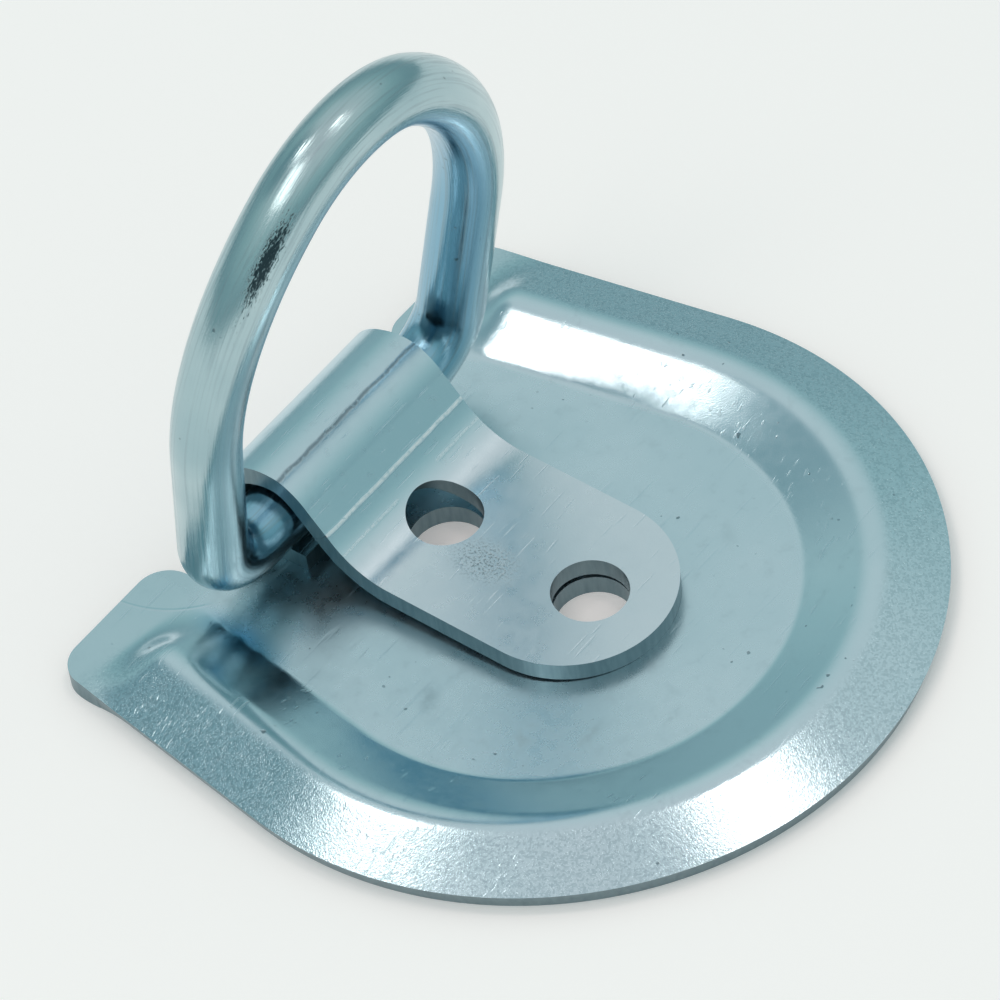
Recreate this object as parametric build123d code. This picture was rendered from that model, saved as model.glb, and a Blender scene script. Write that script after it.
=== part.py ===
from build123d import *
import os
from math import atan, cos, radians, sin, tan

# Half-round lashing plate with a hinged ring, all sizes in millimetres.
# +Z is up and z = 0 is the face that lies on the load floor. x = 0 is the plane of symmetry of the
# plate. y = 0 is the centre of its half-round end, and +Y points to the straight hinge edge.

# --- pressed plate ---------------------------------------------------------------------------
plate_thickness = 2.5
rim_radius = 45.0          # outer edge of the half-round end
floor_radius = 28.4        # where the flat floor ends and the ridge begins
wall_slope_deg = 19.3      # inner wall of the ridge
rim_slope_deg = 20.0       # outer slope of the ridge, down to the sheared edge
crest_half_width = 1.75    # the crest is rounded over this much to each side
side_taper_deg = 9.5       # how far each straight side leans in towards the hinge edge
hinge_edge_y = 40.5
apron_width = 5.0          # flat strip between the end of the ridge and the hinge edge
ridge_runout = 6.5         # length over which the ridge dies away into that strip
corner_radius = 4.0        # the two corners of the hinge edge
notch_width = 40.4         # cut-back in the hinge edge behind the strap
notch_depth = 6.5
notch_corner_radius = 2.4  # the two inner corners of the cut-back
notch_lip_radius = 3.9     # the two outer corners of the cut-back

# --- hinge axis and bolt holes, shared by plate, strap and ring ------------------------------------
bar_setback = 11.5         # from the hinge edge to the hinge axis
bar_to_hole = 14.5         # from the hinge axis to the rear hole
bolt_pitch = 20.5
bolt_hole_radius = 4.5     # clearance for M8

# --- hinge strap -----------------------------------------------------------------------------
strap_thickness = 2.4
strap_width = 25.0
strap_tip_margin = 9.5     # from the centre of the front hole to the tip
leaf_rise_deg = 2.2        # the leaf stands off the floor a little until it is bolted down
bend_radius = 10.0         # concave bend between leaf and flank, measured on the top face
flank_deg = 50.5           # slope of the flank that climbs to the eye
heel_radius = 5.0          # outside of the eye's lower rear corner
tail_length = 7.4          # flat tail under the bar, measured forward from the heel

# --- lashing ring ------------------------------------------------------------------------------
bar_radius = 4.0
ring_width = 43.9          # between the leg centre lines, at the corners
ring_height = 59.7         # from the bar's centre line to the bow's centre line
leg_end = 25.0             # height where the legs end and the bow begins
leg_lean_deg = 4.7         # each leg leans outwards
ring_corner_radius = 7.6   # centre-line radius between bar and legs
bow_radius = 16.5          # centre-line radius at the top of the bow
ring_side_shift = -1.6     # the ring has side play and rests off centre
ring_tilt_deg = 11.5       # forward lean of the ring at rest

# --- clearances of the hinge ---------------------------------------------------------------------
bar_lift = 0.3             # under the bar
bar_clearance = 0.45       # over the bar, where it comes nearest to the eye
eye_play = 1.5             # the eye's inside radius is this much more than the bar's
eye_seat_deg = 113.0       # from the eye's centre, the direction in which the bar is off centre

# --- places that follow from the sizes above ----------------------------------------------------
taper = radians(side_taper_deg)
wall_slope = tan(radians(wall_slope_deg))
rim_slope = tan(radians(rim_slope_deg))
rim_drop = plate_thickness * (1 - cos(radians(rim_slope_deg)))
crest_radius = (wall_slope * floor_radius + rim_slope * rim_radius - rim_drop) / (wall_slope + rim_slope)
floor_top = plate_thickness
bar_y = hinge_edge_y - bar_setback
rear_hole_y = bar_y - bar_to_hole
front_hole_y = rear_hole_y - bolt_pitch
strap_tip_y = front_hole_y - strap_tip_margin
bar_z = floor_top + strap_thickness + bar_lift + bar_radius
eye_radius = bar_radius + eye_play + strap_thickness
eye_offset = eye_play - bar_clearance
eye_y = bar_y - eye_offset * cos(radians(eye_seat_deg))
eye_z = bar_z - eye_offset * sin(radians(eye_seat_deg))
beyond = 4 * rim_radius    # long enough to reach past the part from any point on it


def ridge_profile(radius):
    """Height above the floor and slope of the full ridge: wall, rounded crest, outer slope."""
    start = crest_radius - crest_half_width
    share = min(max((radius - start) / (2 * crest_half_width), 0), 1)
    slope = wall_slope - share * (wall_slope + rim_slope)
    if radius > start + 2 * crest_half_width:
        return rim_slope * (rim_radius - radius) - rim_drop, slope
    turned = share * share * crest_half_width * (wall_slope + rim_slope)
    return wall_slope * (radius - floor_radius) - turned, slope


def ridge_section(share):
    """Sheet section across the ridge in the x-z plane, with a share of the ridge's full height."""
    low_crest = crest_radius - crest_half_width
    high_crest = crest_radius + crest_half_width
    radii = [floor_radius, (floor_radius + low_crest) / 2, low_crest, crest_radius, high_crest,
             (high_crest + rim_radius) / 2, rim_radius]
    top = []
    low = []
    for radius in radii:
        height, slope = ridge_profile(radius)
        tilt = atan(share * slope)
        top.append((radius, plate_thickness + share * height))
        low.append((radius - plate_thickness * sin(-tilt), top[-1][1] - plate_thickness * cos(tilt)))
    low[0] = (floor_radius, 0)
    leaving = [(1, share * wall_slope), (1, -share * rim_slope)]
    top_line = Spline(*top, tangents=leaving)
    low_line = Spline(*low, tangents=leaving)
    closing = Line(top_line @ 0, low_line @ 0) + Line(top_line @ 1, low_line @ 1)
    return Plane.XZ * make_face(top_line + low_line + closing)


def along_side(distance):
    """Where a section sits on the straight side at +X, at a distance past the half-round end."""
    return Pos(-distance * sin(taper), distance * cos(taper), 0) * Rot(0, 0, side_taper_deg)


def plate_side():
    """Straight side at +X: the full ridge, its run-out, and the flat strip up to the hinge edge."""
    going = Vector(-sin(taper), cos(taper), 0)
    flat_from = (hinge_edge_y - apron_width) / cos(taper) - crest_radius * tan(taper)
    full_to = flat_from - ridge_runout
    full = ridge_section(1)
    flat = ridge_section(0)
    side = extrude(along_side(0) * full, amount=full_to, dir=going)
    side += loft([along_side(full_to) * full, along_side(flat_from) * flat])
    side += extrude(along_side(flat_from) * flat, amount=beyond, dir=going)
    return side


def plate_floor():
    """Flat floor inside the ridge, run on past the hinge edge."""
    turn = 180 + 2 * side_taper_deg
    round_end = CenterArc((0, 0), floor_radius, 180 - side_taper_deg, turn)
    side_x = floor_radius * cos(taper) - beyond * sin(taper) / 4
    side_y = floor_radius * sin(taper) + beyond * cos(taper) / 4
    right = Line(round_end @ 1, (side_x, side_y))
    left = Line((-side_x, side_y), round_end @ 0)
    outline = round_end + right + Line((side_x, side_y), (-side_x, side_y)) + left
    return extrude(make_face(outline), amount=plate_thickness)


def corner_waste():
    """What falls away outside the rounded corner between the side at +X and the hinge edge."""
    centre_y = hinge_edge_y - corner_radius
    centre_x = (rim_radius - corner_radius - centre_y * sin(taper)) / cos(taper)
    rounding = CenterArc((centre_x, centre_y), corner_radius, side_taper_deg, 90 - side_taper_deg)
    on_side = rounding @ 0
    on_edge = rounding @ 1
    off_side = on_side + Vector(cos(taper), sin(taper)) * corner_radius
    off_edge = on_edge + Vector(0, corner_radius)
    around = Polyline(on_edge, off_edge, (off_side.X, off_edge.Y), off_side, on_side)
    return extrude(make_face(rounding + around), amount=beyond, both=True)


def upright_edges(body, least_y, most_x):
    """Vertical edges of a body behind least_y and within most_x of the symmetry plane."""
    upright = body.edges().filter_by(Axis.Z)
    return [e for e in upright if e.center().Y > least_y and abs(e.center().X) < most_x]


def make_base_plate():
    """Pressed plate: floor, ridge, flat strip with rounded corners and cut-back, two bolt holes."""
    start = Rot(0, 0, 180 - side_taper_deg) * ridge_section(1)
    plate = revolve(start, Axis.Z, revolution_arc=180 + 2 * side_taper_deg)
    side = plate_side()
    plate += side
    plate += mirror(side, Plane.YZ)
    plate += plate_floor()
    plate -= Pos(0, hinge_edge_y + beyond / 2, 0) * Box(beyond, beyond, beyond)
    waste = corner_waste()
    plate -= waste
    plate -= mirror(waste, Plane.YZ)
    plate -= Pos(0, hinge_edge_y, 0) * Box(notch_width, 2 * notch_depth, beyond)
    near_notch = notch_width / 2 + 0.1
    plate = fillet(upright_edges(plate, hinge_edge_y - 0.1, near_notch), notch_lip_radius)
    inner_y = hinge_edge_y - notch_depth
    plate = fillet(upright_edges(plate, inner_y - 0.1, near_notch)[:2], notch_corner_radius)
    return plate - bolt_holes()


def bolt_holes():
    """The two upright holes in line that strap and plate share."""
    hole = Cylinder(bolt_hole_radius, beyond)
    return Pos(0, front_hole_y, 0) * hole + Pos(0, rear_hole_y, 0) * hole


def strap_line(depth):
    """Side view of the strap from tip to tail, on a line at a depth under its top face."""
    rise = radians(leaf_rise_deg)
    flank = radians(flank_deg)
    tip = Vector(strap_tip_y, floor_top + strap_thickness)
    eye = Vector(eye_y, eye_z)
    leaf_dir = Vector(cos(rise), sin(rise))
    leaf_up = Vector(-sin(rise), cos(rise))
    flank_out = Vector(-sin(flank), cos(flank))
    # The bend's centre is one bend radius from the leaf and from the flank.
    need = eye_radius + bend_radius - (tip + leaf_up * bend_radius - eye).dot(flank_out)
    bend = tip + leaf_up * bend_radius + leaf_dir * (need / leaf_dir.dot(flank_out))
    heel = Vector(eye_y + eye_radius - heel_radius, floor_top + heel_radius)
    tip_point = tip - leaf_up * depth
    concave = CenterArc(bend, bend_radius + depth, 270 + leaf_rise_deg, flank_deg - leaf_rise_deg)
    crown = CenterArc(eye, eye_radius - depth, 90 + flank_deg, -90 - flank_deg)
    corner = CenterArc(heel, heel_radius - depth, 0, -90)
    tail_end = (corner @ 1) - Vector(tail_length, 0)
    runs = [Line(tip_point, concave @ 0), concave, Line(concave @ 1, crown @ 0), crown]
    runs += [Line(crown @ 1, corner @ 0), corner, Line(corner @ 1, tail_end)]
    return Curve() + runs, tip_point, tail_end


def make_strap():
    """Hinge strap: flat leaf with a round tip and two holes, bent up, over the bar and back under."""
    top, top_tip, top_tail = strap_line(0)
    low, low_tip, low_tail = strap_line(strap_thickness)
    outline = top + low + Line(top_tip, low_tip) + Line(top_tail, low_tail)
    side_view = Plane(origin=(0, 0, 0), x_dir=(0, 1, 0), z_dir=(1, 0, 0)) * make_face(outline)
    strap = extrude(side_view, amount=strap_width / 2, both=True)
    tip_centre = strap_tip_y + strap_width / 2
    tip_block = Pos(0, tip_centre - strap_width, 0) * Box(2 * strap_width, 2 * strap_width, beyond)
    strap -= tip_block - Pos(0, tip_centre, 0) * Cylinder(strap_width / 2, beyond)
    return strap - bolt_holes()


def ring_centre_line():
    """Closed centre line of the ring, in the x-z plane with the bar on the x axis."""
    lean = radians(leg_lean_deg)
    corner_x = ring_width / 2 - ring_corner_radius / cos(lean)
    right_corner = CenterArc((corner_x, ring_corner_radius), ring_corner_radius, 270,
                             90 - leg_lean_deg)
    leg_x = ring_width / 2 + (leg_end - ring_corner_radius) * tan(lean)
    # The bow is a top arc between two side arcs; this radius makes all of it tangent.
    drop = ring_height - bow_radius - leg_end
    spare = leg_x * cos(lean) + drop * sin(lean) - bow_radius
    side_radius = (leg_x ** 2 + drop ** 2 - bow_radius ** 2) / (2 * spare)
    side_x = leg_x - side_radius * cos(lean)
    side_z = leg_end + side_radius * sin(lean)
    top_z = ring_height - bow_radius
    meet = Vector(-side_x, top_z - side_z).get_signed_angle(Vector(1, 0))
    meet = abs(meet)
    right_side = CenterArc((side_x, side_z), side_radius, -leg_lean_deg, meet + leg_lean_deg)
    top_arc = CenterArc((0, top_z), bow_radius, meet, 180 - 2 * meet)
    left_side = mirror(right_side, Plane.YZ)
    left_corner = mirror(right_corner, Plane.YZ)
    bar = Line((-corner_x, 0), (corner_x, 0))
    right_leg = Line(right_corner @ 1, right_side @ 0)
    left_leg = mirror(right_leg, Plane.YZ)
    runs = [bar, right_corner, right_leg, right_side, top_arc, left_side, left_leg, left_corner]
    return Plane.XZ * Wire([e for run in runs for e in run.edges()])


def make_lashing_ring():
    """Closed ring of round bar, leaning forward about its hinge axis."""
    path = ring_centre_line()
    section = Plane(origin=path @ 0, z_dir=path % 0) * Circle(bar_radius)
    upright = sweep(section, path)
    place = Pos(ring_side_shift, bar_y, bar_z) * Rot(ring_tilt_deg, 0, 0)
    return place * upright


if __name__ == "__main__":
    nodes = {
        "base_plate": make_base_plate(),
        "strap": make_strap(),
        "lashing_ring": make_lashing_ring(),
    }
    os.makedirs("parts", exist_ok=True)
    for name, solid in nodes.items():
        print(name, solid.bounding_box(), solid.is_valid, len(solid.solids()), solid.volume)
        export_step(solid, f"parts/{name}.step")
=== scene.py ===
from math import cos, pi, radians, sin, tan

import bpy
import numpy as np
from mathutils import Matrix, Vector


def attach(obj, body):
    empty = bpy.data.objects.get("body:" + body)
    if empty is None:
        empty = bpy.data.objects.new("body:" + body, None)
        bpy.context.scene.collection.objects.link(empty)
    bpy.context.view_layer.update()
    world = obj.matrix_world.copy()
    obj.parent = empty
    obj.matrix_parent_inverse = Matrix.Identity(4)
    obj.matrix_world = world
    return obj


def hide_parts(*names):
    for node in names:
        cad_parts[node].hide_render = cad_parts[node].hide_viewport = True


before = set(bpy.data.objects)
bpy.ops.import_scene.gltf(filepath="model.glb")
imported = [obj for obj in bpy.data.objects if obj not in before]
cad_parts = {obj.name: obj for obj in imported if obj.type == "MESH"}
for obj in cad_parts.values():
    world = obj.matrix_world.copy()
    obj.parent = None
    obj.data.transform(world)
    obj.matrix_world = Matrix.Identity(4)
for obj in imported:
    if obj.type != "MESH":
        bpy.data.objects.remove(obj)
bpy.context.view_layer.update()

MM = 0.001

# ------------------------------------------------------------------------------------------------
# Sizes in millimetres, as the part has them
# ------------------------------------------------------------------------------------------------
SHEET = 2.5
SKIN_IN = 0.015
RIM_R = 45.0 - SKIN_IN
FLOOR_R = 28.4
WALL_SLOPE = tan(radians(19.3))
RIM_SLOPE = tan(radians(20))
RIM_DROP = SHEET * (1 - cos(radians(20)))
CREST_R = (WALL_SLOPE * FLOOR_R + RIM_SLOPE * RIM_R - RIM_DROP) / (WALL_SLOPE + RIM_SLOPE)
CREST_HALF = 1.75
FLOOR_CREASE = 0.35
TAPER = radians(9.5)
HINGE_EDGE = 40.5
APRON = 5.0
RUNOUT = 6.5
CORNER_R = 4.0
NOTCH_HALF = 20.2
NOTCH_DEPTH = 6.5
NOTCH_INNER_R = 2.4
NOTCH_LIP_R = 3.9

BAR_Y = 29.0
HOLE_R = 4.5
REAR_HOLE = 14.5
FRONT_HOLE = -6.0

STRAP = 2.4
STRAP_HALF = 12.5
STRAP_TIP = -15.5
LEAF_RISE = radians(2.2)
BEND_R = 10.0
FLANK = radians(50.5)
HEEL_R = 5.0
TAIL = 7.4
BAR_R = 4.0
BAR_Z = 9.2
EYE_R = 7.9
EYE_OFFSET = 1.05
EYE_SEAT = radians(113)
CROWN_CREASE = 46.3
FLANK_LINE = 38.0
BEND_LINE = 35.0
BEND_LINE_TINT = 35.05
MARKS_MIDDLE = 1.2
PLATE_EDGE_ROUND = 0.32
STRAP_EDGE_ROUND = 0.28

RING_W = 43.9
RING_H = 59.7
LEG_END = 25.0
LEAN = radians(4.7)
RING_CORNER = 7.6
BOW_R = 16.5
RING_SHIFT = -1.6
RING_TILT = radians(11.5)


# ------------------------------------------------------------------------------------------------
# Mesh helpers
# ------------------------------------------------------------------------------------------------
def grid_faces(rows, columns, closed_rows=False, closed_columns=False):
    """Quads of a grid whose vertices are stored row by row."""
    r = np.arange(rows if closed_rows else rows - 1)
    c = np.arange(columns if closed_columns else columns - 1)
    r, c = np.meshgrid(r, c, indexing="ij")
    r2 = (r + 1) % rows
    c2 = (c + 1) % columns
    quads = [r * columns + c, r * columns + c2, r2 * columns + c2, r2 * columns + c]
    return np.stack(quads, -1).reshape(-1, 4)


def weld(patches):
    """Joins (points, faces) patches into one, making one vertex of points that coincide."""
    points = np.concatenate([p.reshape(-1, p.shape[-1]) for p, f in patches])
    starts = np.cumsum([0] + [p.reshape(-1, p.shape[-1]).shape[0] for p, f in patches[:-1]])
    faces = np.concatenate([f + s for (p, f), s in zip(patches, starts)])
    keys = np.round(points[:, :2] * 2000).astype(np.int64)
    first, index = np.unique(keys, axis=0, return_index=True, return_inverse=True)[1:]
    faces = index.reshape(-1)[faces]
    same = (faces == np.roll(faces, 1, axis=1)).any(axis=1)
    return points[first], faces[~same]


def smooth_step(t):
    """3t^2 - 2t^3 between 0 and 1."""
    t = np.clip(t, 0, 1)
    return t * t * (3 - 2 * t)


def make_piece(name, skin, materials):
    """Mesh object from a skin in millimetres: points, faces and per-point values by name."""
    points, faces, marks = skin
    mesh = bpy.data.meshes.new(name)
    mesh.from_pydata((points * MM).tolist(), [], faces.tolist())
    mesh.shade_smooth()
    for key, values in marks.items():
        kind, field = ("FLOAT", "value") if values.ndim == 1 else ("FLOAT_VECTOR", "vector")
        layer = mesh.attributes.new(key, kind, "POINT")
        layer.data.foreach_set(field, values.astype(np.float32).ravel())
    for material in materials:
        mesh.materials.append(material)
    piece = bpy.data.objects.new(name, mesh)
    bpy.context.scene.collection.objects.link(piece)
    return piece


def sheet_metal(piece, thickness, edge_round):
    """Gives an open skin its thickness below and rounds the sheared edges a little."""
    solid = piece.modifiers.new("thickness", "SOLIDIFY")
    solid.thickness = thickness * MM
    solid.offset = -1
    solid.use_even_offset = True
    solid.use_quality_normals = True
    solid.material_offset_rim = 1
    bevel = piece.modifiers.new("rolled_edge", "BEVEL")
    bevel.width = edge_round * MM
    bevel.segments = 3
    bevel.limit_method = "ANGLE"
    bevel.angle_limit = radians(50)
    bevel.harden_normals = True
    bevel.material = 0


def hole_patch(centre, radius, edge, rings):
    """Flat patch round a hole: straight lines from the circle to a closed edge around it."""
    out = edge - centre
    circle = centre + radius * out / np.linalg.norm(out, axis=1, keepdims=True)
    t = (np.linspace(0, 1, rings) ** 1.3)[:, None, None]
    points = circle[None] * (1 - t) + edge[None] * t
    return points, grid_faces(rings, len(edge), closed_columns=True)


def line_points(start, end, count):
    """count points from start towards end, the end left out."""
    t = np.linspace(0, 1, count, endpoint=False)[:, None]
    return np.array(start) * (1 - t) + np.array(end) * t


def arc_points(centre, radius, start, end, count):
    """count points on an arc from one angle towards another, the last left out."""
    a = np.linspace(start, end, count, endpoint=False)
    return np.array(centre) + radius * np.stack([np.cos(a), np.sin(a)], 1)


# ------------------------------------------------------------------------------------------------
# Pressed plate
# ------------------------------------------------------------------------------------------------
def side_reach(x, y):
    """Distance out from the middle, square to the rim, and distance along the straight side."""
    side = np.abs(x)
    along = y * cos(TAPER) - side * sin(TAPER)
    reach = np.where(along > 0, side * cos(TAPER) + y * sin(TAPER), np.hypot(x, y))
    return reach, along


def ridge_keep(along):
    """1 where the ridge has its full height, falling smoothly to 0 at the flat strip."""
    flat_from = (HINGE_EDGE - APRON) / cos(TAPER) - CREST_R * tan(TAPER)
    return 1 - smooth_step((along - flat_from + RUNOUT) / RUNOUT)


def plate_top(x, y):
    """Height of the sheet: flat floor, a small crease, a straight wall, a parabola over the crest,
    and a straight outer slope; the ridge's height is scaled down to 0 at its run-out."""
    reach, along = side_reach(x, y)
    step = reach - FLOOR_R + FLOOR_CREASE / 2
    crease = np.clip(step / FLOOR_CREASE, 0, 1)
    wall = WALL_SLOPE * (np.maximum(step, 0) - FLOOR_CREASE * (crease - crease**2 / 2))
    share = np.clip((reach - CREST_R + CREST_HALF) / (2 * CREST_HALF), 0, 1)
    turned = share**2 * CREST_HALF * (WALL_SLOPE + RIM_SLOPE)
    beyond = np.maximum(reach - CREST_R - CREST_HALF, 0)
    ridge = wall - turned - beyond * (WALL_SLOPE + RIM_SLOPE)
    return SHEET + ridge * ridge_keep(along)


def outline_side_x(y):
    """Half width of the plate at y on its straight sides."""
    return (RIM_R - y * sin(TAPER)) / cos(TAPER)


def soft_spot(x, y, centre, half_length, half_width, turn):
    """1 at the centre of an ellipse turned by some degrees, falling smoothly to 0 outside it."""
    c, s = cos(radians(turn)), sin(radians(turn))
    along = ((x - centre[0]) * c + (y - centre[1]) * s) / half_length
    across = ((y - centre[1]) * c - (x - centre[0]) * s) / half_width
    return 1 - smooth_step(np.hypot(along, across))


def handling_smudges(x, y):
    """Grey rub marks on the floor, left by stacking and by the press."""
    rubs = soft_spot(x, y, (-19.6, -10.9), 3.6, 1.7, 8)
    rubs += soft_spot(x, y, (-15.3, -17.0), 4.0, 1.2, 0)
    rubs += soft_spot(x, y, (-8.2, -23.1), 2.4, 0.8, 3)
    rubs += soft_spot(x, y, (-20.6, 1.3), 4.5, 1.8, 38)
    return np.clip(rubs + 0.5 * soft_spot(x, y, (17.0, -12.0), 4.5, 1.5, 60), 0, 1)


def plate_skin():
    """Top face as patches in plan: one round each hole, a band from the box around both holes out
    to the outline, and the two lobes beside the cut-back; then lifted to the pressed height."""
    half = 7.5
    low, mid, high = FRONT_HOLE - 7.5, (FRONT_HOLE + REAR_HOLE) / 2, REAR_HOLE + 7.5
    n_bottom, n_side, n_mid, n_lobe, n_notch = 84, 42, 40, 22, 40
    notch_y = HINGE_EDGE - NOTCH_DEPTH
    lobe_in = NOTCH_HALF - NOTCH_INNER_R
    lobe_out = outline_side_x(notch_y)
    n_top = 2 * n_lobe + n_notch
    bottom = line_points((half, low), (-half, low), n_bottom)
    left_low = line_points((-half, low), (-half, mid), n_side)
    middle = line_points((-half, mid), (half, mid), n_mid)
    right_low = line_points((half, mid), (half, low), n_side)
    left_high = line_points((-half, mid), (-half, high), n_side)
    top = line_points((-half, high), (half, high), n_top)
    right_high = line_points((half, high), (half, mid), n_side)
    middle_back = np.concatenate([middle[1:], [[half, mid]]])[::-1]
    front = np.concatenate([bottom, left_low, middle, right_low])
    rear = np.concatenate([left_high, top, right_high, middle_back])
    rings = 12
    patches = [
        hole_patch(np.array([0, FRONT_HOLE]), HOLE_R, front, rings),
        hole_patch(np.array([0, REAR_HOLE]), HOLE_R, rear, rings),
    ]
    # The band: the box's perimeter against the outline, both starting at the box's bottom right.
    box = np.concatenate([bottom, left_low, left_high, top, right_high, right_low])
    turn = radians(-48)
    arc_bottom = arc_points((0, 0), RIM_R, turn, -pi - turn, n_bottom)
    n_arc = 50
    arc_left = arc_points((0, 0), RIM_R, -pi - turn, -pi - TAPER, n_arc)
    tangent = (-RIM_R * cos(TAPER), RIM_R * sin(TAPER))
    side_left = line_points(tangent, (-lobe_out, notch_y), 2 * n_side - n_arc)
    top_left = line_points((-lobe_out, notch_y), (-lobe_in, notch_y), n_lobe)
    top_mid = line_points((-lobe_in, notch_y), (lobe_in, notch_y), n_notch)
    right = np.concatenate([arc_left, side_left, top_left, [[-lobe_in, notch_y]]])[::-1] * (-1, 1)
    outline = np.concatenate([arc_bottom, arc_left, side_left, top_left, top_mid, right[:-1]])
    rows = 86
    t = np.linspace(0, 1, rows)[:, None, None] ** 0.8
    band = box[None] * (1 - t) + outline[None] * t
    patches.append((band, grid_faces(rows, len(box), closed_columns=True)))
    # The lobes: rows from the cut-back's floor to the hinge edge, rounded at both ends.
    rows = 26
    t = (1 - np.cos(np.linspace(0, pi, rows))) / 2
    y = notch_y + NOTCH_DEPTH * t
    inner = np.full(rows, NOTCH_HALF)
    dip = np.clip(notch_y + NOTCH_INNER_R - y, 0, NOTCH_INNER_R)
    inner -= NOTCH_INNER_R - np.sqrt(NOTCH_INNER_R**2 - dip**2)
    lip = np.clip(y - HINGE_EDGE + NOTCH_LIP_R, 0, NOTCH_LIP_R)
    inner += NOTCH_LIP_R - np.sqrt(NOTCH_LIP_R**2 - lip**2)
    centre_y = HINGE_EDGE - CORNER_R
    centre_x = (RIM_R - CORNER_R - centre_y * sin(TAPER)) / cos(TAPER)
    bend = np.clip(y - centre_y, -CORNER_R, CORNER_R)
    outer = np.where(
        y > centre_y + CORNER_R * sin(TAPER),
        centre_x + np.sqrt(CORNER_R**2 - bend**2),
        outline_side_x(y),
    )
    u = np.linspace(0, 1, n_lobe + 1)[None]
    x = inner[:, None] * (1 - u) + outer[:, None] * u
    lobe = np.stack([x, np.broadcast_to(y[:, None], x.shape)], -1)
    faces = grid_faces(rows, n_lobe + 1)
    patches.append((lobe, faces))
    patches.append((lobe * (-1, 1), faces[:, ::-1]))
    plan, faces = weld(patches)
    x, y = plan.T
    reach, along = side_reach(x, y)
    slope = smooth_step((reach - CREST_R - 0.6) / 1.6) * smooth_step((31.0 - along) / 2.5)
    level = 1 - smooth_step((reach - FLOOR_R + 0.6) / 0.6)
    # Painted reflection and shade: a deep blue patch on the left inner wall near the ring's foot,
    # standing in for the shaded ring and strap reflected there.
    blued = soft_spot(x, y, (-25.0, 25.0), 9.0, 3.8, 80)
    marks = {"stretched": slope, "smudged": handling_smudges(x, y), "level": level, "blued": blued}
    return np.column_stack([plan, plate_top(x, y)]), faces, marks


# ------------------------------------------------------------------------------------------------
# Strap
# ------------------------------------------------------------------------------------------------
def strap_runs():
    """Top line of the strap in side view, as straight and round runs (kind, length, data)."""
    tip = np.array([STRAP_TIP, SHEET + STRAP])
    eye = np.array([BAR_Y - EYE_OFFSET * cos(EYE_SEAT), BAR_Z - EYE_OFFSET * sin(EYE_SEAT)])
    leaf = np.array([cos(LEAF_RISE), sin(LEAF_RISE)])
    leaf_up = np.array([-sin(LEAF_RISE), cos(LEAF_RISE)])
    flank_out = np.array([-sin(FLANK), cos(FLANK)])
    need = EYE_R + BEND_R - (tip + leaf_up * BEND_R - eye) @ flank_out
    bend = tip + leaf_up * BEND_R + leaf * (need / (leaf @ flank_out))
    heel = np.array([eye[0] + EYE_R - HEEL_R, SHEET + HEEL_R])

    def on(centre, radius, angle):
        return centre + radius * np.array([cos(angle), sin(angle)])

    leaf_end = on(bend, BEND_R, LEAF_RISE - pi / 2)
    flank_start = on(bend, BEND_R, FLANK - pi / 2)
    flank_end = on(eye, EYE_R, FLANK + pi / 2)
    return [
        ("line", tip, leaf_end),
        ("arc", bend, BEND_R, LEAF_RISE - pi / 2, FLANK - pi / 2),
        ("line", flank_start, flank_end),
        ("arc", eye, EYE_R, FLANK + pi / 2, 0),
        ("line", on(eye, EYE_R, 0), on(heel, HEEL_R, 0)),
        ("arc", heel, HEEL_R, 0, -pi / 2),
        ("line", on(heel, HEEL_R, -pi / 2), on(heel, HEEL_R, -pi / 2) - np.array([TAIL, 0])),
    ]


def run_length(run):
    """Length of one straight or round run."""
    if run[0] == "line":
        return float(np.linalg.norm(run[2] - run[1]))
    return run[2] * abs(run[4] - run[3])


def strap_line(s):
    """Points (y, z) of the strap's top line at distances s from the tip."""
    s = np.asarray(s, float)
    out = np.zeros(s.shape + (2,))
    start = 0.0
    for run in strap_runs():
        length = run_length(run)
        here = s >= start - 1e-9
        t = (s[here] - start) / length
        if run[0] == "line":
            out[here] = run[1] + t[:, None] * (run[2] - run[1])
        else:
            angle = run[3] + t * (run[4] - run[3])
            out[here] = run[1] + run[2] * np.stack([np.cos(angle), np.sin(angle)], -1)
        start += length
    return out


def strap_marks(x, s):
    """How far press marks stand out: a tent whose height falls with the distance from the crown's
    crease, and two raised lines, bell curves in s that waver with sines of x. The one at the bend
    is left out in the middle."""
    from_crease = np.abs(s - CROWN_CREASE)
    tent = 0.4 * np.clip(1 - np.sqrt(from_crease**2 + 0.06) / 4.6, 0, 1)
    wander = 0.04 * np.sin(x * 0.9) + 0.02 * np.sin(x * 3.1 + 1)
    broken = 0.7 + 0.3 * np.sin(x * 5.3 + 2 * np.sin(x * 1.7))
    line = 0.05 * broken * np.exp(-(((s - FLANK_LINE - wander) / 0.22) ** 2))
    sides = smooth_step(np.abs(x - MARKS_MIDDLE) - 3.2)
    thin = 0.035 * sides * np.exp(-(((s - BEND_LINE - wander) / 0.12) ** 2))
    return tent + line + thin


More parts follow.
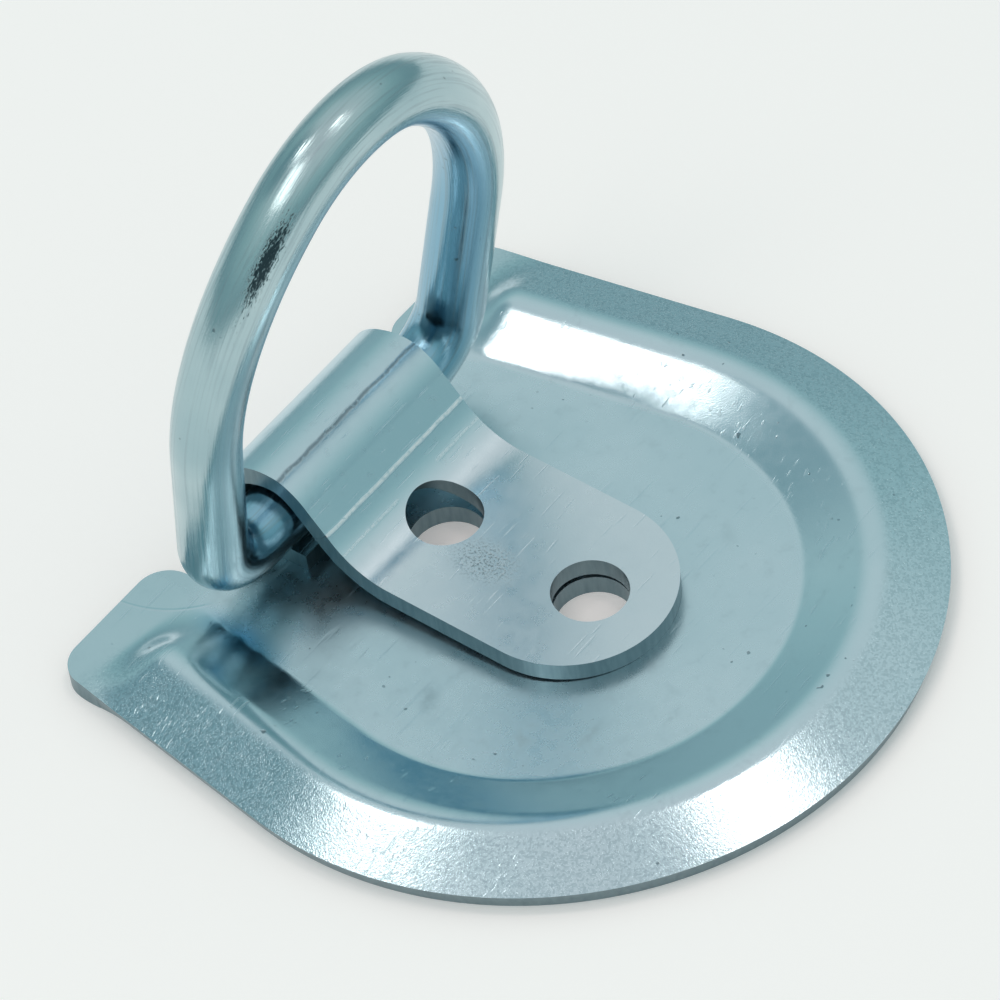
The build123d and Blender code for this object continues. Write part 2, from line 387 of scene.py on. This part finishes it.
def strap_skin():
    """Top face in the flat: a patch round each hole and a plain grid to the tail; then each point
    (x, s) is set on the bent line at distance s from the tip and moved outwards by its mark."""
    rise = cos(LEAF_RISE)
    front, rear = (FRONT_HOLE - STRAP_TIP) / rise, (REAR_HOLE - STRAP_TIP) / rise
    mid = (front + rear) / 2
    back = rear + 8.0
    end = sum(run_length(run) for run in strap_runs())
    h = STRAP_HALF
    n_side, n_across, n_tip = 24, 48, 72
    tip = arc_points((0, h), h, 0, -pi, n_tip)
    left = line_points((-h, h), (-h, mid), n_side)
    across = line_points((-h, mid), (h, mid), n_across)
    right = line_points((h, mid), (h, h), n_side)
    edge = np.concatenate([tip, left, across, right])
    patches = [hole_patch(np.array([0, front]), HOLE_R, edge, 30)]
    left = line_points((-h, mid), (-h, back), 2 * n_side)
    over = line_points((-h, back), (h, back), n_across)
    right = line_points((h, back), (h, mid), 2 * n_side)
    under = np.concatenate([across[1:], [[h, mid]]])[::-1]
    edge = np.concatenate([left, over, right, under])
    patches.append(hole_patch(np.array([0, rear]), HOLE_R, edge, 30))
    s = np.concatenate([np.linspace(back, 39, 46)[:-1], np.linspace(39, 50, 70)[:-1]])
    s = np.concatenate([s, np.linspace(50, end, 90)])
    rows = len(s)
    x = np.linspace(-h, h, n_across + 1)
    x, s = np.meshgrid(x, s)
    patches.append((np.stack([x, s], -1), grid_faces(rows, n_across + 1)))
    flat, faces = weld(patches)
    side_view = strap_line(flat[:, 1])
    ahead = strap_line(np.minimum(flat[:, 1] + 0.01, end)) - strap_line(flat[:, 1] - 0.01)
    ahead /= np.linalg.norm(ahead, axis=1, keepdims=True)
    outward = np.stack([-ahead[:, 1], ahead[:, 0]], 1)
    side_view = side_view + outward * strap_marks(flat[:, 0], flat[:, 1])[:, None]
    lay = np.column_stack([flat, 0 * flat[:, 0]])
    return np.column_stack([flat[:, 0], side_view]), faces, {"lay": lay}


# ------------------------------------------------------------------------------------------------
# Ring
# ------------------------------------------------------------------------------------------------
def ring_line(count):
    """Closed centre line in its own plane: bar, corner arcs, leaning legs, three-arc bow."""
    corner_x = RING_W / 2 - RING_CORNER / cos(LEAN)
    leg_x = RING_W / 2 + (LEG_END - RING_CORNER) * tan(LEAN)
    drop = RING_H - BOW_R - LEG_END
    spare = leg_x * cos(LEAN) + drop * sin(LEAN) - BOW_R
    side_r = (leg_x**2 + drop**2 - BOW_R**2) / (2 * spare)
    side = np.array([leg_x - side_r * cos(LEAN), LEG_END + side_r * sin(LEAN)])
    top = np.array([0, RING_H - BOW_R])
    meet = np.arctan2(top[1] - side[1], -side[0])
    corner = np.array([corner_x, RING_CORNER])
    bar = line_points((0, 0), (corner_x, 0), 30)
    bend = arc_points(corner, RING_CORNER, -pi / 2, -LEAN, 60)
    foot = corner + RING_CORNER * np.array([cos(LEAN), -sin(LEAN)])
    shoulder = side + side_r * np.array([cos(LEAN), -sin(LEAN)])
    leg = line_points(foot, shoulder, 50)
    flank = arc_points(side, side_r, -LEAN, meet, 90)
    bow = arc_points(top, BOW_R, meet, pi / 2, 60)
    half = np.concatenate([bar, bend, leg, flank, bow, [[0, RING_H]]])
    line = np.concatenate([half, half[1:-1][::-1] * (-1, 1)])
    step = np.linalg.norm(np.roll(line, -1, 0) - line, axis=1)
    s = np.concatenate([[0], np.cumsum(step)])
    line = np.concatenate([line, line[:1]])
    even = np.linspace(0, s[-1], count, endpoint=False)
    return np.stack([np.interp(even, s, line[:, k]) for k in (0, 1)], 1)


def ring_skin():
    """Round section carried along the closed centre line: the line's point, plus bar radius times
    cosine of the angle in the ring's plane and sine of it square to that; then leaned forward."""
    count, around = 560, 56
    line = ring_line(count)
    tangent = np.roll(line, -1, 0) - np.roll(line, 1, 0)
    tangent /= np.linalg.norm(tangent, axis=1, keepdims=True)
    normal = np.stack([tangent[:, 1], -tangent[:, 0]], 1)
    angle = np.linspace(0, 2 * pi, around, endpoint=False)
    out = BAR_R * np.cos(angle)
    x = line[:, None, 0] + out * normal[:, None, 0] + RING_SHIFT
    up = line[:, None, 1] + out * normal[:, None, 1]
    deep = np.broadcast_to(BAR_R * np.sin(angle), up.shape)
    y = BAR_Y - up * sin(RING_TILT) + deep * cos(RING_TILT)
    z = BAR_Z + up * cos(RING_TILT) + deep * sin(RING_TILT)
    points = np.stack([x, y, z], -1).reshape(-1, 3)
    length = np.linspace(0, 1, count, endpoint=False)[:, None] * 2 * pi
    lay = [40 * np.sin(length) + 0 * out, out + 0 * length, BAR_R * np.sin(angle) + 0 * length]
    lay = np.stack(lay, -1).reshape(-1, 3)
    # A painted dark reflection on the upper left leg, long and narrow, broken up by grain; the
    # surface there is also rougher and a little sunken.
    from_middle = np.angle(np.exp(1j * (angle - radians(326))))
    from_place = (length - radians(213)) / radians(11)
    worn = np.exp(-(from_place**2) - (from_middle / radians(14)) ** 2)
    faces = grid_faces(count, around, closed_rows=True, closed_columns=True)
    return points, faces, {"lay": lay, "worn": worn.ravel()}


# ------------------------------------------------------------------------------------------------
# Shader helpers
# ------------------------------------------------------------------------------------------------
class Value:
    """A shader socket that Python's operators can work on."""

    def __init__(self, bench, socket):
        self.bench = bench
        self.socket = socket

    def _math(self, operation, a, b):
        return self.bench.node("ShaderNodeMath", {"operation": operation}, {0: a, 1: b})

    def __add__(self, other):
        return self._math("ADD", self, other)

    __radd__ = __add__

    def __mul__(self, other):
        return self._math("MULTIPLY", self, other)

    __rmul__ = __mul__

    def __sub__(self, other):
        return self._math("SUBTRACT", self, other)

    def __rsub__(self, other):
        return self._math("SUBTRACT", other, self)

    def __abs__(self):
        return self._math("ABSOLUTE", self, 0.0)


class Bench:
    """One material's nodes."""

    def __init__(self, name):
        self.material = bpy.data.materials.new(name)
        self.material.use_nodes = True
        self.tree = self.material.node_tree
        self.tree.nodes.clear()

    def node(self, kind, settings=None, sockets=None, output=0):
        """Adds a node: its settings first, then its sockets' values or links."""
        made = self.tree.nodes.new(kind)
        for key, value in (settings or {}).items():
            if key == "stops":
                ramp = made.color_ramp
                ramp.elements[0].position, ramp.elements[0].color = value[0]
                ramp.elements[1].position, ramp.elements[1].color = value[-1]
                for position, color in value[1:-1]:
                    ramp.elements.new(position).color = color
            else:
                setattr(made, key, value)
        for key, value in (sockets or {}).items():
            if isinstance(value, Value):
                self.tree.links.new(value.socket, made.inputs[key])
            else:
                made.inputs[key].default_value = value
        return Value(self, made.outputs[output])

    def noise(self, at, scale, detail=2.0, roughness=0.5, distortion=0.0):
        """Noise between 0 and 1 at a scale in cycles per metre."""
        sockets = {"Vector": at, "Scale": scale, "Detail": detail, "Roughness": roughness}
        return self.node("ShaderNodeTexNoise", None, {**sockets, "Distortion": distortion})

    def cells(self, at, scale, output):
        """Crystal-like cells: distance from each one's middle (output 0) or its own colour (1)."""
        return self.node("ShaderNodeTexVoronoi", None, {"Vector": at, "Scale": scale}, output)

    def span(self, value, low, high, to_low=0.0, to_high=1.0):
        """Takes value from one range to another with soft ends."""
        settings = {"interpolation_type": "SMOOTHSTEP"}
        sockets = {0: value, 1: low, 2: high, 3: to_low, 4: to_high}
        return self.node("ShaderNodeMapRange", settings, sockets)

    def mix(self, factor, a, b):
        """Colour between a and b."""
        settings = {"data_type": "RGBA"}
        return self.node("ShaderNodeMix", settings, {0: factor, 6: a, 7: b}, output=2)

    def stripe(self, value, centre, half):
        """1 where value is at the centre, falling to 0 at half away from it."""
        return self.span(abs(value - centre), half, 0.0)

    def near(self, at, centre):
        """Distance from a point."""
        settings = {"operation": "DISTANCE"}
        return self.node("ShaderNodeVectorMath", settings, {0: at, 1: centre}, output=1)

    def part(self, vector, index):
        """One component of a vector."""
        return self.node("ShaderNodeSeparateXYZ", None, {0: vector}, output=index)

    def stretch(self, at, scale, turn=(0, 0, 0)):
        """Scales and turns coordinates, to draw a pattern out in one direction."""
        return self.node("ShaderNodeMapping", None, {0: at, 2: turn, 3: scale})

    def object_coordinates(self):
        """Coordinates that move with the piece, in metres."""
        return self.node("ShaderNodeTexCoord", None, None, output=3)

    def attribute(self, name, output):
        """A per-point value (output 2) or vector (output 1) of the piece."""
        return self.node("ShaderNodeAttribute", {"attribute_name": name}, None, output)

    def bump(self, height, distance):
        """Normal tilted by a height whose unit is distance, in metres."""
        sockets = {"Strength": 1.0, "Distance": distance, "Height": height}
        return self.node("ShaderNodeBump", None, sockets)

    def surface(self, **sockets):
        """The Principled surface and the output."""
        sockets = {key.replace("_", " "): value for key, value in sockets.items()}
        shader = self.node("ShaderNodeBsdfPrincipled", None, sockets)
        self.node_output(shader)
        return self.material

    def node_output(self, shader):
        out = self.tree.nodes.new("ShaderNodeOutputMaterial")
        self.tree.links.new(shader.socket, out.inputs[0])


GRAIN_DEPTH = 0.000016
TEAR_DEPTH = 0.000008
BRIGHT_ZINC = (0.57, 0.72, 0.79, 1)
DEEP_ZINC = (0.50, 0.67, 0.74, 1)
DULL_ZINC = (0.30, 0.40, 0.44, 1)
DARK_PITS_AND_SHADE = (0.10, 0.16, 0.19, 1)
GRAIN_DARK = (0.20, 0.33, 0.38, 1)
LOBE_ZINC = (0.40, 0.58, 0.64, 1)
PAINTED_BLUE_REFLECTION = (0.10, 0.40, 0.62, 1)
LEAF_PAINTED_SHEEN = (0.68, 0.77, 0.83, 1)
RAISED_LINE_WHITE = (0.92, 0.96, 0.97, 1)
BAR_BRIGHT = (0.48, 0.62, 0.65, 1)
BAR_DEEP = (0.37, 0.52, 0.56, 1)
BAR_INNER_REFLECTION = (0.24, 0.47, 0.62, 1)
DARK_REFLECTION_TINT = (0.02, 0.04, 0.05, 1)
EDGE_DARK = (0.17, 0.25, 0.28, 1)
EDGE_LIGHT = (0.23, 0.32, 0.35, 1)
TOOL_MARK_CENTRE = (-0.01438, 0.04175, 0.0025)
TOOL_MARK_R = 0.01311


def zinc_base(b, at, roughness):
    """Tint and roughness shared by every plated face: slow clouds and a faint finer mottle."""
    clouds = b.noise(at, 55, 3.0, 0.5)
    mottled = b.noise(at, 500, 3.0, 0.6)
    tint = b.mix(b.span(clouds, 0.3, 0.75, 0.0, 0.7), BRIGHT_ZINC, DEEP_ZINC)
    tint = b.mix(b.span(mottled, 0.55, 0.8, 0.0, 0.15), tint, DULL_ZINC)
    rough = b.span(mottled, 0.25, 0.75, roughness - 0.03, roughness + 0.04)
    return tint, rough + b.span(clouds, 0.35, 0.7, 0.0, 0.03)


def scratches(b, at, scale, length, turn, rarity):
    """Fine lines drawn out in one direction, kept only where a slow noise lets them through."""
    lines = b.noise(b.stretch(at, (1 / length, 1, 1), (0, 0, radians(turn))), scale, 1.0, 0.4)
    kept = b.span(b.noise(at, scale * 0.06, 1.0, 0.5), rarity, rarity + 0.1)
    return b.span(lines, 0.66, 0.72) * kept


def plate_zinc():
    """Satin on the floor and wall with rub marks, pits and scratches; sparkling grain where the
    outer slope is stretched; a curved tool mark on the left lobe."""
    b = Bench("plate_zinc")
    at = b.object_coordinates()
    tint, rough = zinc_base(b, at, 0.16)
    stretched = b.attribute("stretched", 2)
    smudged = b.attribute("smudged", 2) * b.span(b.noise(at, 420, 3.0, 0.6), 0.38, 0.6)
    pits = b.span(b.noise(at, 900, 1.0, 0.5), 0.745, 0.78) * b.span(b.noise(at, 90), 0.5, 0.6)
    lines = scratches(b, at, 1900, 22, 35, 0.5) + scratches(b, at, 1700, 18, 130, 0.54)
    tint = b.mix(smudged * 0.35, tint, DULL_ZINC)
    tint = b.mix(pits * 0.7, tint, DARK_PITS_AND_SHADE)
    fine = b.noise(at, 5200, 2.0, 0.6)
    coarse = b.noise(at, 3000, 3.0, 0.6)
    facets = b.part(b.cells(at, 4300, 1), 0)
    tint = b.mix(stretched * b.span(facets, 0.7, 0.1) * 0.3, tint, GRAIN_DARK)
    tool_mark = b.stripe(b.near(at, TOOL_MARK_CENTRE), TOOL_MARK_R, 0.00028)
    tool_mark = tool_mark * b.span(b.part(at, 1), 0.0305, 0.032)
    grain = (coarse * 0.8 + fine * 0.5 + facets * 0.3) * stretched
    height = fine * 0.35 + grain - lines * 0.5 - pits + tool_mark * 1.6
    bump = b.bump(height, GRAIN_DEPTH)
    lobes = b.span(b.part(at, 1), 0.030, 0.036)
    tint = b.mix(lobes * 0.6, tint, LOBE_ZINC)
    # Painted reflection: deep blue on the left inner wall where the shaded ring foot and strap are
    # reflected.
    tint = b.mix(b.attribute("blued", 2) * 0.75, tint, PAINTED_BLUE_REFLECTION)
    rough = rough + b.attribute("level", 2) * 0.11 + smudged * 0.1 + lines * 0.1 - stretched * 0.05
    return b.surface(Base_Color=tint, Metallic=1.0, Roughness=rough, Normal=bump)


def strap_zinc():
    """Satin strip with a painted lighter sheen on the leaf: a painted shade line, dark and broken,
    along the crown's crease, rough raised lines at the bend with a painted highlight, a hammered
    patch between the holes and fine cross scratches."""
    b = Bench("strap_zinc")
    at = b.object_coordinates()
    tint, rough = zinc_base(b, at, 0.21)
    lay = b.attribute("lay", 1)
    across, along = b.part(lay, 0), b.part(lay, 1)
    rough = rough + b.span(along, 29, 25, 0.0, 0.08)
    # Painted sheen: the leaf is tinted lighter for the brighter reflection it shows.
    tint = b.mix(b.span(along, 37, 31, 0.0, 0.8), tint, LEAF_PAINTED_SHEEN)
    ragged = b.noise(lay, 2.2, 3.0, 0.7)
    wander = (b.noise(lay, 0.35, 1.0) - 0.5) * 0.5
    crease = b.stripe(along + wander, CROWN_CREASE, 0.42) * b.span(ragged, 0.3, 0.5, 0.35, 1.0)
    raised = b.stripe(along + wander * 0.4, FLANK_LINE, 0.34) * b.span(ragged, 0.35, 0.5, 0.3, 1.0)
    sides = b.span(abs(across - MARKS_MIDDLE), 3.2, 4.2)
    thin = b.stripe(along + wander * 0.4, BEND_LINE_TINT, 0.26) * sides * b.span(ragged, 0.4, 0.55)
    hammered = b.span(b.near(b.stretch(lay, (1, 0.7, 1)), (-3.0, 15.4, 0)), 4.0, 0.6)
    hammered = hammered * b.span(b.noise(lay, 3.0, 3.0, 0.7), 0.47, 0.62)
    lines = scratches(b, lay, 2.6, 16, -12, 0.44) + scratches(b, lay, 2.2, 20, 68, 0.52)
    # Painted shade: the crown's crease line is darkened where shade falls in it.
    tint = b.mix(crease * 0.75, tint, DARK_PITS_AND_SHADE)
    tint = b.mix(hammered * 0.7, tint, DARK_PITS_AND_SHADE)
    # Painted highlight: the real raised press lines are tinted near white and made less metallic,
    # standing in for the light they catch.
    raised_line_highlight = raised * 0.85 + thin * 0.4
    tint = b.mix(raised_line_highlight, tint, RAISED_LINE_WHITE)
    fine = b.noise(at, 4800, 2.0, 0.6)
    height = fine * 0.5 + ragged * raised * 2.0 - crease * 1.5 - hammered * 1.2 - lines * 0.8
    rough = rough + raised * 0.2 + thin * 0.15 + hammered * 0.1 + lines * 0.08
    bump = b.bump(height, GRAIN_DEPTH)
    return b.surface(Base_Color=tint, Metallic=1 - raised_line_highlight * 0.8, Roughness=rough, Normal=bump)


def ring_zinc():
    """Drawn bar: bright and dull streaks along its length, with a painted bluer reflection on the
    ring's inside, small pits and one painted dark reflection on the upper left leg."""
    b = Bench("ring_zinc")
    at = b.object_coordinates()
    lay = b.attribute("lay", 1)
    clouds = b.noise(at, 70, 3.0, 0.5)
    streaks = b.noise(b.stretch(lay, (0.025, 1, 1)), 2.6, 4.0, 0.65)
    tint = b.mix(b.span(clouds, 0.3, 0.75), BAR_BRIGHT, BAR_DEEP)
    # Painted reflection: the ring's inner side is tinted bluer for the shaded plate and strap it
    # reflects.
    inner_reflection = b.span(b.part(lay, 1), 0.5, -3.0, 0.0, 0.85)
    tint = b.mix(inner_reflection, tint, BAR_INNER_REFLECTION)
    tint = b.mix(b.span(streaks, 0.5, 0.66, 0.0, 0.5), tint, DULL_ZINC)
    grain = b.noise(b.stretch(lay, (0.3, 1, 1)), 6.0, 3.0, 0.7)
    # Painted reflection: a dark patch on the upper left leg, broken up by grain.
    worn = b.span(b.attribute("worn", 2) + (grain - 0.5) * 2.2, 0.35, 0.75)
    tint = b.mix(worn * 0.95, tint, DARK_REFLECTION_TINT)
    pits = b.span(b.noise(at, 1100, 1.0, 0.5), 0.74, 0.78) * b.span(b.noise(at, 110), 0.5, 0.6)
    tint = b.mix(pits * 0.8, tint, DARK_PITS_AND_SHADE)
    fine = b.noise(at, 4800, 2.0, 0.6)
    bump = b.bump(fine * 0.4 + streaks * 2.2 - worn * 0.6 - pits, GRAIN_DEPTH)
    rough = b.span(streaks, 0.36, 0.62, 0.11, 0.26) + worn * 0.15
    return b.surface(Base_Color=tint, Metallic=1.0, Roughness=rough, Normal=bump)


def sheared_edge():
    """Sheared sheet edge: greyer and rougher, with fine tear lines through the thickness."""
    b = Bench("sheared_edge")
    at = b.object_coordinates()
    lines = b.noise(b.stretch(at, (1, 1, 0.15)), 1500, 2.0, 0.6)
    tint = b.mix(b.span(lines, 0.2, 0.8), EDGE_DARK, EDGE_LIGHT)
    bump = b.bump(lines, TEAR_DEPTH)
    return b.surface(Base_Color=tint, Metallic=1.0, Roughness=0.36, Normal=bump)


# ------------------------------------------------------------------------------------------------
# Pieces
# ------------------------------------------------------------------------------------------------
edge_metal = sheared_edge()

pressed_plate = make_piece("pressed_plate", plate_skin(), [plate_zinc(), edge_metal])
sheet_metal(pressed_plate, SHEET, PLATE_EDGE_ROUND)
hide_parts("base_plate")
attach(pressed_plate, "plate")

hinge_strap = make_piece("hinge_strap", strap_skin(), [strap_zinc(), edge_metal])
sheet_metal(hinge_strap, STRAP, STRAP_EDGE_ROUND)
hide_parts("strap")
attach(hinge_strap, "plate")

round_ring = make_piece("round_ring", ring_skin(), [ring_zinc()])
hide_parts("lashing_ring")
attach(round_ring, "ring")


# ------------------------------------------------------------------------------------------------
# Floor, light and camera
# ------------------------------------------------------------------------------------------------
DOME_STOPS = [
    (0.0, (0.27, 0.40, 0.42, 1)),
    (0.2, (0.30, 0.44, 0.46, 1)),
    (0.47, (0.41, 0.57, 0.57, 1)),
    (0.74, (0.66, 0.73, 0.72, 1)),
    (1.0, (0.72, 0.72, 0.72, 1)),
]
DARK_HEIGHT, DARK_TURN = radians(45), radians(103)
DARK_OUTER, DARK_INNER, DARK_SHARE = radians(26), radians(6), 0.9
DARK_TINT = (0.21, 0.35, 0.38, 1)
BOX_TINT = (1.0, 0.86, 0.80)
FLOOR_REACH = 3000.0


def add_floor():
    """Pale floor on the plane the plate rests on, lifted a little by its own light."""
    floor_metal = Bench("pale_floor")
    tone = {"Base_Color": (0.97, 0.94, 0.93, 1), "Emission_Color": (1.0, 0.97, 0.97, 1)}
    material = floor_metal.surface(**tone, Emission_Strength=0.15, Roughness=0.8)
    corners = FLOOR_REACH * np.array([[-1, -1, 0], [1, -1, 0], [1, 1, 0], [-1, 1, 0]])
    floor = make_piece("floor", (corners, np.array([[0, 1, 2, 3]]), {}), [material])


def add_soft_box(name, height, turn, distance, size, radiance):
    """Square soft light in the direction given by its height and turn in degrees, facing the
    part from a distance in metres; its power follows from size and radiance."""
    data = bpy.data.lights.new(name, "AREA")
    data.shape = "RECTANGLE"
    data.size, data.size_y = size
    data.energy = radiance * pi * size[0] * size[1]
    data.color = BOX_TINT
    light = bpy.data.objects.new(name, data)
    up, round_z = radians(height), radians(turn)
    toward = Vector((cos(up) * cos(round_z), cos(up) * sin(round_z), sin(up)))
    light.location = toward * distance
    light.rotation_euler = toward.to_track_quat("Z", "Y").to_euler()
    bpy.context.scene.collection.objects.link(light)


def add_world():
    """Soft studio dome: neutral overhead, greener and dimmer towards the horizon, with a darker
    patch beside the window."""
    world = bpy.data.worlds.new("studio")
    world.use_nodes = True
    tree = world.node_tree
    background = tree.nodes["Background"]
    direction = tree.nodes.new("ShaderNodeTexCoord")
    split = tree.nodes.new("ShaderNodeSeparateXYZ")
    ramp = tree.nodes.new("ShaderNodeValToRGB")
    stops = DOME_STOPS
    elements = ramp.color_ramp.elements
    elements[0].color = stops[0][1]
    elements[1].color = stops[-1][1]
    for position, color in stops[1:-1]:
        elements.new(position).color = color
    tree.links.new(direction.outputs["Generated"], split.inputs[0])
    tree.links.new(split.outputs["Z"], ramp.inputs[0])
    toward = tree.nodes.new("ShaderNodeVectorMath")
    toward.operation = "DOT_PRODUCT"
    level = cos(DARK_HEIGHT)
    dark_middle = (level * cos(DARK_TURN), level * sin(DARK_TURN), sin(DARK_HEIGHT))
    toward.inputs[1].default_value = dark_middle
    shade = tree.nodes.new("ShaderNodeMapRange")
    shade.interpolation_type = "SMOOTHSTEP"
    limits = (cos(DARK_OUTER), cos(DARK_INNER), 0.0, DARK_SHARE)
    for socket, value in zip((1, 2, 3, 4), limits):
        shade.inputs[socket].default_value = value
    blend = tree.nodes.new("ShaderNodeMix")
    blend.data_type = "RGBA"
    blend.inputs[7].default_value = DARK_TINT
    tree.links.new(direction.outputs["Generated"], toward.inputs[0])
    tree.links.new(toward.outputs["Value"], shade.inputs[0])
    tree.links.new(shade.outputs[0], blend.inputs[0])
    tree.links.new(ramp.outputs[0], blend.inputs[6])
    tree.links.new(blend.outputs[2], background.inputs[0])
    bpy.context.scene.world = world


def add_camera():
    """Long lens from the left front, looking down at about 47 degrees."""
    turn, down, roll = radians(45.57), radians(46.93), radians(-9.65)
    ahead = np.array([sin(turn) * cos(down), cos(turn) * cos(down), -sin(down)])
    right = np.array([cos(turn), -sin(turn), 0])
    up = np.cross(right, ahead)
    rolled_right = cos(roll) * right + sin(roll) * up
    rolled_up = -sin(roll) * right + cos(roll) * up
    data = bpy.data.cameras.new("camera")
    data.lens = 260.6
    data.clip_start = 0.01
    data.clip_end = 20
    camera = bpy.data.objects.new("camera", data)
    matrix = Matrix.Identity(4)
    matrix.col[0][:3] = rolled_right
    matrix.col[1][:3] = rolled_up
    matrix.col[2][:3] = -ahead
    matrix.col[3][:3] = (-0.39321, -0.37998, 0.60278)
    camera.matrix_world = matrix
    bpy.context.scene.collection.objects.link(camera)
    bpy.context.scene.camera = camera


add_floor()
add_soft_box("window_box", 66.5, 106, 1.0, (0.16, 0.17), 5.5)
add_soft_box("second_box", 72, 330, 1.0, (0.15, 0.15), 6)
add_soft_box("side_window", 60, 183, 1.0, (0.36, 0.48), 2.3)
add_world()
add_camera()
bpy.context.scene.view_settings.view_transform = "Standard"
